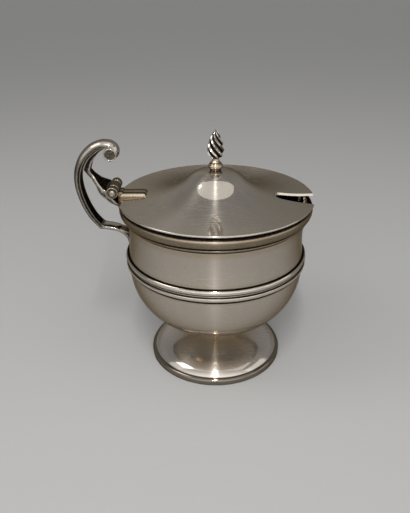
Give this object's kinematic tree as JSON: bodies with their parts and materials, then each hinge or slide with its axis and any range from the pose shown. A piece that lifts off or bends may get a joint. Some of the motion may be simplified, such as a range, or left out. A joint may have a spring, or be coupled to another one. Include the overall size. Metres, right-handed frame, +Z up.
{
  "type": "mustard pot",
  "caption": "Footed silver mustard pot: round-bellied bowl with reeded girdle, scroll handle, glass liner and a hinged domed lid with a notch and a wrythen finial.",
  "frame": {"origin": "on the pot's axis, in the plane that the foot stands on", "axes": "+Z up along the pot's axis, +X away from the handle, on the notched side of the lid, the handle lies towards -X, the hinge axis runs along Y"},
  "size_m": [0.0779, 0.064, 0.0818],
  "materials": {
    "silver": "polished silver, lightly scratched and tarnished",
    "liner_glass": "clear dark blue glass"
  },
  "bodies": {
    "pot": {"bowl": "silver", "rim_moulding": "silver", "girdle_band": "silver", "foot": "silver", "foot_rim": "silver", "scroll_handle": "silver", "hinge_strap": "silver", "knuckle_front": "silver", "knuckle_rear": "silver", "hinge_pin": "silver", "liner": "liner_glass"},
    "lid": {"lid_shell": "silver", "lid_bezel": "silver", "hinge_plate": "silver", "lid_knuckle": "silver", "finial": "silver", "finial_nut": "silver"}
  },
  "joints": [
    {"name": "lid_hinge", "type": "hinge", "parent": "pot", "child": "lid", "pos_m": [-0.033, 0, 0.0627], "axis": [0, -1, 0], "range_deg": [0, 80]}
  ]
}
